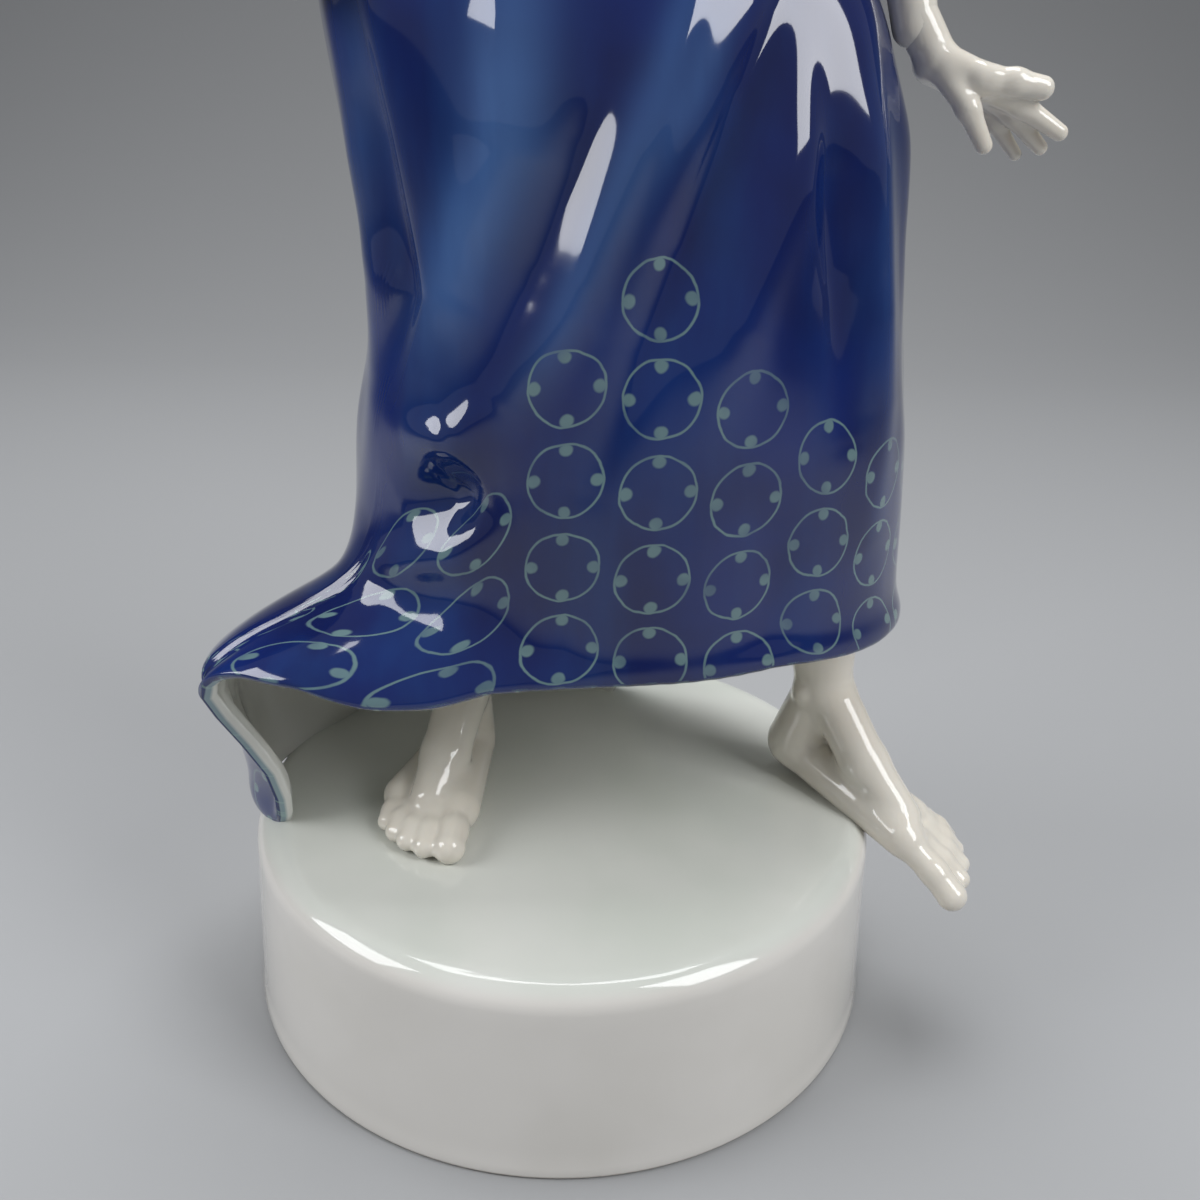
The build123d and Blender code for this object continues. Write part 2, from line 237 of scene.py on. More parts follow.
class Maths:
    """Short names for the shader's own arithmetic."""

    def __init__(self, nodes, links):
        self.nodes, self.links = nodes, links

    def put(self, socket, value):
        if isinstance(value, (int, float)):
            socket.default_value = value
        else:
            self.links.new(value, socket)

    def do(self, operation, a, b=0.0, c=0.0):
        node = self.nodes.new("ShaderNodeMath")
        node.operation = operation
        for socket, value in zip(node.inputs, (a, b, c)):
            self.put(socket, value)
        return node.outputs[0]

    def ramp(self, value, start, end, low=0.0, high=1.0):
        node = self.nodes.new("ShaderNodeMapRange")
        node.interpolation_type = "SMOOTHSTEP"
        self.put(node.inputs["Value"], value)
        for key, number in (("From Min", start), ("From Max", end), ("To Min", low), ("To Max", high)):
            node.inputs[key].default_value = number
        return node.outputs["Result"]

    def mix(self, share, a, b):
        node = self.nodes.new("ShaderNodeMix")
        node.data_type = "RGBA"
        self.put(node.inputs[0], share)
        for socket, value in ((node.inputs[6], a), (node.inputs[7], b)):
            if isinstance(value, tuple):
                socket.default_value = (*value, 1.0)
            else:
                self.links.new(value, socket)
        return node.outputs[2]

    def attribute(self, name):
        node = self.nodes.new("ShaderNodeAttribute")
        node.attribute_name = name
        return node.outputs["Fac"]

    def noise(self, scale, detail=3.0, stretch=(1, 1, 1)):
        place = self.nodes.new("ShaderNodeTexCoord")
        mapping = self.nodes.new("ShaderNodeMapping")
        mapping.inputs["Scale"].default_value = stretch
        node = self.nodes.new("ShaderNodeTexNoise")
        node.inputs["Scale"].default_value = scale
        node.inputs["Detail"].default_value = detail
        self.links.new(place.outputs["Object"], mapping.inputs["Vector"])
        self.links.new(mapping.outputs[0], node.inputs["Vector"])
        return node.outputs["Fac"]


def soft_glaze(name, pale, deep, scale=45.0, subsurface=0.12):
    """Clear glaze over a body whose tone drifts slightly between two colours."""
    material, nodes, links, principled = shader(name)
    m = Maths(nodes, links)
    drift = m.ramp(m.noise(scale), 0.35, 0.68)
    links.new(m.mix(drift, pale, deep), principled.inputs["Base Color"])
    principled.inputs["Subsurface Weight"].default_value = subsurface
    principled.inputs["Subsurface Radius"].default_value = (1.0, 0.8, 0.6)
    principled.inputs["Subsurface Scale"].default_value = 0.0015
    return material


def plinth_glaze():
    """White glaze, its top painted darker and greener as painted shade from the skirt, wiped off the foot
    ring before firing.
    """
    material, nodes, links, principled = shader("plinth_white")
    m = Maths(nodes, links)
    place = nodes.new("ShaderNodeTexCoord")
    split = nodes.new("ShaderNodeSeparateXYZ")
    links.new(place.outputs["Object"], split.inputs[0])
    level = split.outputs["Z"]
    top = m.ramp(level, (PLINTH_TOP - 2.5) * MM, (PLINTH_TOP - 0.4) * MM)
    drift = m.ramp(m.noise(28.0), 0.35, 0.7)
    side = m.mix(drift, (0.77, 0.745, 0.70), (0.72, 0.695, 0.645))
    # Painted shade: the whole top is coloured darker and greener than the sides, standing in for the skirt's
    # shadow.
    painted_shade_top = m.mix(drift, (0.69, 0.70, 0.65), (0.63, 0.655, 0.595))
    bare = m.ramp(level, 0.4 * MM, 1.1 * MM, 1.0, 0.0)
    colour = m.mix(bare, m.mix(top, side, painted_shade_top), (0.60, 0.55, 0.48))
    links.new(colour, principled.inputs["Base Color"])
    links.new(m.ramp(bare, 0.0, 1.0, 0.08, 0.75), principled.inputs["Roughness"])
    return material


def ring_pattern(m, nodes, links):
    """Thin rings in columns, each with four rounded buds inside, drawn on the dress's pattern map."""
    uv = nodes.new("ShaderNodeUVMap")
    uv.uv_map = "pattern"
    split = nodes.new("ShaderNodeSeparateXYZ")
    links.new(uv.outputs[0], split.inputs[0])
    column = m.do("FLOOR", m.do("ADD", split.outputs["X"], 0.5))
    shift = m.do("MULTIPLY", m.do("SINE", m.do("MULTIPLY", column, 2.2)), -0.22)
    upward = m.do("SUBTRACT", split.outputs["Y"], shift)
    row = m.do("FLOOR", m.do("ADD", upward, 0.5))
    wobble = m.do("MULTIPLY", m.do("SUBTRACT", m.noise(260.0, 2.0), 0.5), 0.05)
    across = m.do("ADD", m.do("SUBTRACT", split.outputs["X"], column), wobble)
    up = m.do("ADD", m.do("SUBTRACT", upward, row), wobble)
    reach = m.do("SQRT", m.do("ADD", m.do("MULTIPLY", across, across), m.do("MULTIPLY", up, up)))
    ring = m.ramp(m.do("ABSOLUTE", m.do("SUBTRACT", reach, 0.41)), 0.006, 0.020, 1.0, 0.0)
    wide, tall = m.do("ABSOLUTE", across), m.do("ABSOLUTE", up)
    buds = []
    for a, b in ((wide, tall), (tall, wide)):
        far = m.do("SUBTRACT", a, 0.345)
        span = m.do("SQRT", m.do("ADD", m.do("MULTIPLY", far, far), m.do("MULTIPLY", b, b)))
        buds.append(m.ramp(span, 0.055, 0.085, 1.0, 0.0))
    drawn = m.do("MAXIMUM", ring, m.do("MAXIMUM", buds[0], buds[1]))
    rows = m.do("MAXIMUM", m.do("SUBTRACT", 5.0, m.do("ABSOLUTE", column)), 3.0)
    low_enough = m.do("LESS_THAN", row, m.do("SUBTRACT", rows, 0.5))
    return m.do("MULTIPLY", drawn, low_enough)


def dress_glaze():
    """Cobalt under glaze, washed thin on the crests and streaked along the folds, white inside the hem."""
    material, nodes, links, principled = shader("cobalt")
    m = Maths(nodes, links)
    wash = m.attribute("wash")
    inside = m.attribute("inside")
    hem = m.attribute("hem")
    streak = m.ramp(m.noise(70.0, 4.0, (1.0, 1.0, 0.22)), 0.42, 0.72)
    patch = m.ramp(m.noise(26.0, 3.0), 0.35, 0.7)
    deep = m.mix(patch, (0.0015, 0.007, 0.070), (0.002, 0.016, 0.135))
    deep = m.mix(m.do("MULTIPLY", streak, 0.45), deep, (0.006, 0.042, 0.18))
    washed = m.do("MULTIPLY", wash, m.ramp(streak, 0.0, 1.0, 0.75, 1.0))
    blue = m.mix(washed, deep, (0.075, 0.175, 0.42))
    drawn = m.do("MULTIPLY", ring_pattern(m, nodes, links), m.ramp(m.noise(90.0), 0.25, 0.6, 0.4, 0.85))
    blue = m.mix(drawn, blue, (0.15, 0.25, 0.25))
    edge = m.do("MULTIPLY", m.ramp(hem, 0.15, 0.75, 1.0, 0.0), 0.6)
    blue = m.mix(edge, blue, (0.40, 0.55, 0.55))
    white = m.mix(m.ramp(m.noise(30.0), 0.35, 0.7), (0.74, 0.735, 0.70), (0.67, 0.68, 0.63))
    links.new(m.mix(inside, blue, white), principled.inputs["Base Color"])
    principled.inputs["Coat Weight"].default_value = 0.6
    return material


# ------------------------------------------------------------------ dress

# Level sections: height, right side x, left side x, front y, back y, then the train's reach beyond the body,
# its bearing and its half spread in degrees. They are the CAD dress's own.
LEVELS = np.array([
    (34.0, -34.0, 60.0, -30.0, 40.0, 25.0, 178.0, 46.0),
    (50.0, -35.0, 60.0, -30.5, 39.0, 27.5, 184.0, 42.0),
    (62.0, -37.0, 60.5, -31.0, 38.0, 30.0, 191.0, 36.0),
    (74.0, -38.0, 61.0, -31.5, 37.0, 32.0, 199.0, 29.0),
    (82.0, -38.5, 60.5, -32.0, 36.0, 21.0, 203.0, 26.0),
    (86.0, -38.5, 60.0, -32.3, 35.5, 8.0, 204.0, 25.0),
    (90.0, -38.5, 59.5, -32.5, 35.0, 1.5, 205.0, 24.0),
    (100.0, -37.8, 59.0, -33.0, 34.5, 0.0, 205.0, 24.0),
    (114.0, -36.8, 58.5, -33.0, 34.0, 0.0, 205.0, 24.0),
    (130.0, -34.2, 55.5, -33.0, 33.0, 0.0, 205.0, 24.0),
    (146.0, -33.6, 53.2, -32.0, 32.0, 0.0, 205.0, 24.0),
    (162.0, -36.2, 52.5, -31.0, 31.0, 0.0, 205.0, 24.0),
    (178.0, -39.4, 47.0, -29.0, 29.0, 0.0, 205.0, 24.0),
    (192.0, -39.5, 39.0, -26.0, 26.5, 0.0, 205.0, 24.0),
    (204.0, -33.0, 32.0, -22.5, 23.0, 0.0, 205.0, 24.0),
    (214.0, -26.0, 26.0, -18.5, 19.0, 0.0, 205.0, 24.0),
    (WAIST, -22.5, 22.5, -16.0, 16.5, 0.0, 205.0, 24.0),
])
# The hem's height over x, in front and behind.
FRONT_HEM = (
    [-60, -52, -42, -32, -22, -12, 0, 14, 36, 52, 62],
    [75, 78, 78, 75.4, 75.4, 77.8, 78.3, 79.5, 81, 79.5, 79],
)
BACK_HEM = ([10, 20, 34, 50, 62], [PLINTH_TOP, 54, 70, 78, 79])
TRAIN_EDGE_Y = -15.5
TRAIN_EDGE_LEAN = 0.26
# Folds on the front: path of (x, z), height in mm (below zero is a groove), and half width.
FOLDS = [
    ([(31, 186), (29, 179), (20, 158), (10, 133), (3, 112)], -2.6, 3.6),
    ([(40, 184), (32, 160), (22, 132), (16, 112)], 1.5, 5.0),
    ([(18, 190), (10, 165), (0, 138), (-8, 124)], 1.6, 3.2),
    ([(8, 192), (2, 165), (-8, 140), (-14, 126)], -1.7, 3.0),
    ([(-6, 200), (-8, 178), (-9, 160), (-18, 139)], 1.9, 5.0),
    ([(-34, 185), (-31, 165), (-26, 138), (-30, 122)], -2.4, 2.6),
    ([(-37, 182), (-35, 160), (-31, 138), (-33, 126)], 1.2, 2.6),
    ([(38, 186), (41, 170), (45, 148), (49, 122), (50, 100)], 1.9, 3.4),
    ([(33, 180), (36, 160), (40, 140), (43, 118)], -1.6, 3.0),
    ([(-12, 124), (-18, 117), (-27, 116)], 1.9, 3.4),
    ([(-14, 111), (-20, 107), (-28, 104)], -4.2, 4.2),
    ([(-8, 106), (-18, 98), (-30, 93), (-42, 88)], 1.6, 3.6),
    ([(-20, 88), (-32, 84), (-44, 84)], -2.0, 3.6),
    ([(2, 104), (-1, 90), (-2, 78)], -0.8, 4.0),
    ([(30, 112), (33, 95), (34, 78)], -0.9, 4.5),
    ([(20, 118), (19, 98), (20, 78)], 0.7, 5.0),
]
WASHES = [
    ([(-7, 205), (-8, 178), (-9, 160), (-19, 138), (-24, 128)], 0.85, 5.5),
    ([(18, 190), (9, 163), (-2, 135), (-10, 122)], 0.55, 3.2),
    ([(24, 188), (16, 168), (8, 150)], 0.35, 2.6),
    ([(-34, 190), (-33, 150), (-35, 110)], 0.30, 2.4),
    ([(44, 184), (47, 150), (50, 120)], 0.18, 3.5),
]


def smooth_levels(z):
    """The level table read at heights z, rounded off between its rows."""
    fine = np.arange(20.0, WAIST + 30.0, 1.0)
    table = np.stack([np.interp(fine, LEVELS[:, 0], LEVELS[:, c]) for c in range(1, 8)], -1)
    reach = 9
    bell = np.exp(-((np.arange(-reach, reach + 1) / 3.6) ** 2))
    padded = np.pad(table, ((reach, reach), (0, 0)), mode="edge")
    soft = np.stack([np.convolve(padded[:, c], bell / bell.sum(), mode="valid") for c in range(7)], -1)
    return [np.interp(z, fine, soft[:, c]) for c in range(7)]


def dress_base(turn, z):
    """Radius and centre of the plain dress at bearing turn (degrees) and height z."""
    right, left, front, back, reach, bearing, spread = smooth_levels(z)
    a, b = (left - right) / 2, (back - front) / 2
    away = (turn - bearing + 180) % 360 - 180
    t = np.radians(turn)
    r = 1 / np.hypot(np.cos(t) / a, np.sin(t) / b) + reach * np.exp(-((away / spread) ** 2))
    return r, (right + left) / 2, (front + back) / 2


def path_distance(x, z, path):
    """Distance in the front view to a path, and how far along it (0 to 1) the nearest point is."""
    best = np.full(x.shape, 1e9)
    where = np.zeros(x.shape)
    pts = np.array(path, float)
    count = len(pts) - 1
    for i in range(count):
        step = pts[i + 1] - pts[i]
        s = np.clip(((x - pts[i, 0]) * step[0] + (z - pts[i, 1]) * step[1]) / (step @ step), 0, 1)
        d = np.hypot(x - pts[i, 0] - s * step[0], z - pts[i, 1] - s * step[1])
        closer = d < best
        best = np.where(closer, d, best)
        where = np.where(closer, (i + s) / count, where)
    return best, where


def front_share(turn):
    """1 on the front half, falling to 0 towards the back."""
    return np.clip(0.5 - 1.6 * np.sin(np.radians(turn)), 0, 1)


def paths_at(paths, x, z, turn):
    total = np.zeros(x.shape)
    for path, height, width in paths:
        d, s = path_distance(x, z, path)
        ends = np.clip(1.25 - 2.2 * np.abs(s - 0.5), 0, 1)
        total += height * np.exp(-((d / width) ** 2)) * ends
    return total * front_share(turn)


def back_folds(turn, z):
    """Long hanging folds behind and at the sides, fading towards the waist."""
    t = np.radians(turn)
    depth = 1.5 * np.clip((WAIST - 6 - z) / 60, 0, 1)
    lean = 0.012 * (z - 120)
    wave = np.sin(9 * t + lean * 9 + 0.6 * np.sin(2 * t)) + 0.45 * np.sin(16 * t - 9 * lean + 1.3)
    return depth * wave * (1 - front_share(turn)) * 0.8


def train_folds(turn, z):
    """The train's broad rolls, crest and trough, where it sweeps out and down to the plinth."""
    away = (turn - 186 + 180) % 360 - 180
    low = np.clip((100 - z) / 22, 0, 1)
    return low * np.exp(-((away / 40) ** 2)) * (1.6 * np.sin(np.radians(turn) * 9 + z * 0.09))


def hem_height(turns):
    """Height of the dress's lower edge at each bearing."""
    heights = np.arange(PLINTH_TOP - 0.5, 96.0, 0.25)
    out = []
    for turn in turns:
        r, cx, cy = dress_base(np.full(heights.shape, turn), heights)
        x, y = cx + r * np.cos(np.radians(turn)), cy + r * np.sin(np.radians(turn))
        open_front = np.interp(x, *FRONT_HEM)
        open_back = np.interp(x, *BACK_HEM)
        limit = np.where(y < 0, open_front, open_back)
        behind_edge = (x < -12) & (y > TRAIN_EDGE_Y - TRAIN_EDGE_LEAN * (heights - PLINTH_TOP))
        limit = np.where(behind_edge | ((y >= 0) & (x < 10)), PLINTH_TOP - 0.5, limit)
        kept = heights >= limit
        out.append(heights[np.argmax(kept)])
    out = np.array(out)
    bell = np.exp(-((np.arange(-6, 7) / 2.2) ** 2))
    return np.convolve(np.pad(out, 6, mode="wrap"), bell / bell.sum(), mode="valid")


COLUMNS, ROWS, INNER_ROWS, ROLL_ROWS = 440, 176, 22, 7
# The ring pattern: steps between rings round the dress and up it, the lowest row's height above the hem,
# and the x of the middle column.
RING_STEP_AROUND, RING_STEP_UP, RING_START, RING_MIDDLE_X = 14.2, 14.3, 4.8, 13


def dress_rings():
    """Rings of the dress from its inner ceiling down to the hem, round the edge and up to the waist."""
    turns = 90 + 360 * np.arange(COLUMNS) / COLUMNS
    hem = hem_height(turns)
    share = np.linspace(0, 1, ROWS)[:, None] ** 1.12
    z = hem + (WAIST - hem) * share
    turn = np.broadcast_to(turns, z.shape)
    r, cx, cy = dress_base(turn, z)
    x = cx + r * np.cos(np.radians(turn))
    flare = 1.4 * np.exp(-(((z - hem) / 4.0) ** 2))
    fade = np.clip((WAIST - z) / 14, 0, 1)
    lift = (paths_at(FOLDS, x, z, turn) + back_folds(turn, z) + train_folds(turn, z)) * fade + flare
    radius = r + lift
    wash = np.clip(paths_at(WASHES, x, z, turn), 0, 1)
    outer = ring_points(radius, cx, cy, turn, z)
    ceiling = INNER_CEILING + 2
    inner_share = np.linspace(1, 0, INNER_ROWS)[:, None]
    inner_z = hem + (ceiling - hem) * inner_share
    inner_turn = np.broadcast_to(turns, inner_z.shape)
    inner_r, icx, icy = dress_base(inner_turn, inner_z)
    near = np.stack([np.interp(inner_z[:, c], z[:, c], lift[:, c]) for c in range(COLUMNS)], -1)
    inner = ring_points(inner_r + near - CLOTH, icx, icy, inner_turn, inner_z)
    sweep = np.linspace(0, np.pi, ROLL_ROWS + 2)[1:-1][:, None]
    middle = (outer[0] + inner[-1]) / 2
    half = (outer[0] - inner[-1]) / 2
    drop = np.array([0, 0, -CLOTH * 0.36])
    roll = np.stack([middle - half * math.cos(s) + drop * math.sin(s) for s in sweep[:, 0]])
    return np.concatenate([inner, roll, outer]), wash, outer


def ring_points(radius, cx, cy, turn, z):
    t = np.radians(turn)
    return np.stack([cx + radius * np.cos(t), cy + radius * np.sin(t), z], -1)


def make_dress():
    rings, wash, outer = dress_rings()
    piece = capped_rings("dress", rings, dress_glaze())
    count = rings.shape[0] * COLUMNS
    first = INNER_ROWS + ROLL_ROWS
    inside = np.zeros(rings.shape[:2])
    inside[:INNER_ROWS + 3] = 1.0
    climb = np.zeros(rings.shape[:2])
    climb[INNER_ROWS + 5:first + 1] = 1.0
    climb[first + 1:] = 1.0 + np.cumsum(np.linalg.norm(np.diff(outer, axis=0), axis=2), axis=0)
    washed = np.zeros(rings.shape[:2])
    washed[first:] = wash
    for name, values in (("wash", washed), ("inside", inside), ("hem", climb)):
        layer = piece.data.attributes.new(name, "FLOAT", "POINT")
        layer.data.foreach_set("value", np.concatenate([values.reshape(-1), values[[0, -1], 0]]))
    level = int(ROWS * 0.22)
    steps = np.linalg.norm(np.diff(outer[level], axis=0, append=outer[level][:1]), axis=1)
    around = np.concatenate([[0], np.cumsum(steps)])
    behind = 1000 * (outer[level][:, 1] > 0)
    middle = int(np.argmin(np.abs(outer[level][:, 0] - RING_MIDDLE_X) + behind))
    u = (around - around[middle]) / RING_STEP_AROUND
    v = (climb - RING_START) / RING_STEP_UP
    v[:first] = -3
    u_point = np.concatenate([np.tile(u[:-1], rings.shape[0]), [0, 0]])
    v_point = np.concatenate([v.reshape(-1), [-3, 20]])
    uv = piece.data.uv_layers.new(name="pattern")
    for polygon in piece.data.polygons:
        columns = [i % COLUMNS for i in polygon.vertices]
        wraps = max(columns) - min(columns) > COLUMNS // 2
        for loop, index, col in zip(polygon.loop_indices, polygon.vertices, columns):
            value = u[-1] if wraps and col == 0 and index < count else u_point[index]
            uv.data[loop].uv = (value, v_point[index])
    return dress_up(piece, "blue_glaze", "skirt", "train", "skirt_inner_floor")


# ------------------------------------------------------------------ plinth


def arc(cx, cz, radius, start, end, steps=8):
    turns = np.radians(np.linspace(start, end, steps))
    return [(cx + radius * math.cos(t), cz + radius * math.sin(t)) for t in turns]


def make_plinth():
    """Hollow drum turned about the axis: top, rounded rim, wall, foot ring, and the hollow underneath."""
    rim = 4.6
    wall, ring_inner = PLINTH_RADIUS - 5, FOOT_RADIUS - 6
    profile = [(r, PLINTH_TOP) for r in np.linspace(2, PLINTH_RADIUS - rim - 1, 10)]
    profile += arc(PLINTH_RADIUS - rim, PLINTH_TOP - rim, rim, 90, 2)
    profile += [(PLINTH_RADIUS + 1.5 * s, (PLINTH_TOP - rim) * (1 - s)) for s in np.linspace(0.08, 0.93, 9)]
    profile += arc(FOOT_RADIUS - 1.0, 1.0, 1.0, 0, -90, 5)
    profile += [(ring_inner, 0.0), (wall, PLINTH_TOP - 12)]
    profile += arc(wall - 3, PLINTH_TOP - 8, 3, 0, 90, 5)
    profile += [(wall - 6, PLINTH_TOP - 5), (2, PLINTH_TOP - 5)]
    turns = np.radians(np.arange(0, 360, 2.5))
    rings = np.array([[(r * math.cos(t), r * math.sin(t), z) for t in turns] for r, z in profile])
    return dress_up(capped_rings("plinth_turned", rings, plinth_glaze()), "white_glaze", "plinth")


# ------------------------------------------------------------------ feet


def toe_row(starts, ends, radii):
    toes = []
    for a, b, r in zip(starts, ends, radii):
        a, b = np.array(a, float), np.array(b, float)
        knuckle = a + (b - a) * 0.55 + np.array([0, 0, 0.5])
        toes += chain([a, knuckle, b], [r, r * 0.86, r * 0.98])
    return toes


def make_feet(skin):
    right = chain([(-18, 4, 95), (-20, 4, 76), (-20.5, 4, 60), (-20.5, 8, 45.5)], [8.6, 7.2, 5.3, 6.0])
    right += chain([(-20.5, 1, 57), (-23, -7, 49), (-25, -14, 43.6)], [5.0, 4.6, 4.0])
    right += [rod((-19, 6, 43), (-20, -15, 42.4), 4.4, 4.2), rod((-23, 7, 43), (-31, -10, 41.8), 4.4, 3.6)]
    right += [egg((-15.9, 4, 59.5), (1.6, 2.2, 2.2)), egg((-25.3, 5, 58), (1.6, 2.2, 2.2))]
    right += toe_row(
        [(-20, -17, 42), (-24.2, -17.6, 42), (-27.2, -16.5, 41.8), (-29.7, -14.6, 41.6), (-31.8, -12, 41.4)],
        [(-20.6, -25.6, 41), (-25.2, -25, 40.8), (-28.5, -23, 40.7), (-31, -20.3, 40.6), (-33, -17, 40.5)],
        [3.0, 2.15, 2.05, 1.95, 1.85],
    )
    left = chain([(46.5, 4, 95), (48.5, 3.5, 76), (50.5, 3, 60), (47, 6, 45.8)], [8.6, 7.2, 5.4, 5.9])
    left += chain([(52.5, 1, 57.5), (58, -6, 48), (64, -13, 40.5)], [4.9, 4.6, 4.1])
    left += [rod((49, 3, 44), (64, -16, 38.4), 4.6, 4.1), rod((51, 6, 44), (67.5, -9.5, 38.4), 4.2, 3.5)]
    left += [egg((45.8, 1.2, 59.5), (1.6, 2.2, 2.2)), egg((54.8, 5.4, 58), (1.6, 2.2, 2.2))]
    left += toe_row(
        [(65.5, -18, 37), (68, -15.6, 37), (69.6, -13, 37), (70.6, -10.8, 37.2), (70.8, -8.6, 37.4)],
        [(72.6, -24, 30.4), (75, -20, 31.2), (76, -16.4, 32), (75.8, -13, 33), (75, -10, 34)],
        [2.9, 2.1, 2.0, 1.9, 1.75],
    )
    standing = modelled("right_foot", right, skin, 1.6, 0.42, floor=PLINTH_TOP - 0.3)
    dress_up(standing, "skin_glaze", "right_leg")
    stepping = modelled("left_foot", left, skin, 1.6, 0.42)
    dress_up(stepping, "skin_glaze", "left_leg")


# ------------------------------------------------------------------ arms and hands


def make_arms(skin):
    left = chain([(27, 2, 268), (33, 3, 254), (38.5, 5, 238), (41.5, 5, 223)], [7.4, 6.9, 5.9, 5.4])
    forearm = [(42.5, 4.6, 220), (45.5, 3, 207), (48.5, -0.5, 189), (51.0, -2.6, 177)]
    left += chain(forearm, [5.6, 5.3, 4.1, 3.5])
    right = chain([(-27, 2, 268), (-34, 5, 256), (-43, 9.5, 240), (-47.5, 11, 230)], [7.4, 7.0, 6.0, 5.6])
    forearm = [(-48, 11, 228), (-49.2, 5, 217), (-48.6, -4.5, 205), (-47.8, -9, 200)]
    right += chain(forearm, [5.6, 5.2, 4.1, 3.6])
    dress_up(modelled("left_arm_form", left, skin, 3.0, 0.7), "skin_glaze", "left_arm")
    dress_up(modelled("right_arm_form", right, skin, 3.0, 0.7), "skin_glaze", "right_arm")


def make_hands(skin):
    left = [rod((50.8, -2.5, 178.5), (54.5, -3.4, 172.8), 3.4, 3.2)]
    left += [
        rod((54.5, -4.6, 172.4), (62, -7.0, 169.6), 2.8, 2.3),
        rod((54.5, -3.0, 172), (62.6, -4.0, 168.8), 2.9, 2.3),
        rod((54.5, -1.6, 171.4), (61.8, -1.2, 167.8), 2.6, 2.0),
    ]
    left += chain([(61, -7.2, 169.9), (66, -7.8, 169.6), (70.2, -7.8, 168.9)], [2.1, 1.95, 1.8])
    left += chain([(62, -5.2, 168.8), (68.4, -5.6, 166.2), (74.8, -5.6, 162.6)], [2.0, 1.75, 1.3])
    left += chain([(62.4, -3.0, 168.2), (68, -3.2, 164.8), (73.0, -3.2, 160.2)], [1.9, 1.6, 1.2])
    left += chain([(61.4, -0.8, 167.6), (66, -0.8, 163.6), (70.0, -0.9, 159.0)], [1.7, 1.4, 1.05])
    left += chain([(56, -5.6, 170.4), (59.4, -8.0, 165.6), (62.4, -8.4, 160.6)], [2.2, 1.75, 1.35])
    right = [rod((-47.8, -9, 200.4), (-46.6, -12, 194), 3.4, 3.4)]
    right += [
        rod((-46.8, -11, 195), (-44.6, -10.5, 187), 3.0, 2.4),
        rod((-46.6, -13, 195), (-43.8, -15.5, 187), 3.0, 2.3),
        rod((-46.2, -14, 195), (-42.6, -18.6, 188), 2.8, 2.2),
    ]
    for i in range(4):
        base = np.array([-44.4 + 0.6 * i, -10 - 3.0 * i, 187.0])
        right += chain([base, base + [1.2, -0.6, -4.6], base + [3.4, 0.2, -8.0 + 0.5 * i]], [2.0, 1.75, 1.4])
    right += chain([(-45, -15.5, 193), (-42, -19.5, 190), (-38.6, -21, 187)], [2.2, 1.8, 1.45])
    dress_up(modelled("left_hand_form", left, skin, 1.1, 0.32), "skin_glaze", "left_hand")
    dress_up(modelled("right_hand_form", right, skin, 1.1, 0.36), "skin_glaze", "right_hand")


# ------------------------------------------------------------------ head


def both(x, part_of):
    """The same part on both sides of the face."""
    return [part_of(0.6 + x), part_of(0.6 - x)]


def make_head(skin, hair):
    parts = [egg((0.6, 0.2, 312), (13.0, 15.6, 18.6)), egg((0.6, -5.2, 303.5), (9.6, 9.8, 12.2))]
    parts += [egg((0.6, -11.4, 295.2), (3.6, 3.4, 3.2)), rod((0.6, 1.2, 297), (0.6, 1.2, 287.2), 7.8, 7.6)]
    parts += both(6.2, lambda x: egg((x, -10.2, 303.6), (3.2, 3.4, 3.4)))
    fine = [rod((0.6, -14.9, 309.4), (0.6, -16.9, 304.2), 0.9, 1.45)]
    fine += both(1.3, lambda x: egg((x, -15.3, 303.5), (1.1, 1.2, 1.0)))
    fine += [egg((0.6, -14.6, 300.0), (3.1, 1.3, 0.75)), egg((0.6, -14.3, 298.4), (2.5, 1.4, 0.9))]
    fine += both(4.7, lambda x: egg((x, -12.4, 308.4), (2.6, 2.1, 1.7)))
    fine += both(13.0, lambda x: egg((x, 2.0, 306.5), (1.5, 2.6, 4.0)))
    dents = both(4.7, lambda x: egg((x, -16.6, 308.6), (2.9, 1.7, 2.0)))
    dress_up(modelled("head_form", parts + fine, skin, 1.3, 0.45, dents=dents), "skin_glaze", "head")

    def combed(p):
        around = np.arctan2(p[:, 0] - 0.6, p[:, 2] - 314)
        return 0.22 * np.sin(34 * around + 0.25 * p[:, 1]) - 0.2

    cap = [egg((0.6, 2.0, 314), (14.9, 15.9, 18.6)), egg((0.6, 8, 304), (12.6, 9.5, 9.0))]
    face = [egg((0.6, -17, 300.5), (11.5, 13.5, 19.5))]
    dress_up(modelled("hair_form", cap, hair, 1.4, 0.5, dents=face, ripple=combed), "hair_glaze", "hair_cap")

    def coiled(p):
        x, z = p[:, 0] - 0.6, p[:, 2] - 317
        return 0.3 * np.sin(3 * np.arctan2(x, z) + 2.4 * np.hypot(x, z)) - 0.2

    bun = [egg((0.6, 19.0, 317), (8.6, 7.0, 8.1))]
    dress_up(modelled("bun_form", bun, hair, 1.0, 0.45, ripple=coiled), "hair_glaze", "hair_bun")


def make_shoulders(skin):
    parts = [rod((0.6, 1.8, 272), (0.6, 1.3, 290.5), 8.6, 7.7), egg((0.5, 0.5, 266), (25, 14.5, 7.5))]

    def across(x, share):
        """A place between the middle line (0) and beyond x (over 1)."""
        return 0.6 + (x - 0.6) * share

    parts += both(14, lambda x: rod((across(x, 0.3), 2, 271), (across(x, 1.6), 2.4, 269.5), 6.6, 6.0))
    parts += both(10, lambda x: rod((across(x, 0.3), -8.6, 271), (across(x, 1.6), -5.5, 273.4), 1.2, 1.1))
    dress_up(modelled("shoulders_form", parts, skin, 3.4, 0.7), "skin_glaze", "neck_and_shoulders")


# ------------------------------------------------------------------ bodice, sleeves and sash


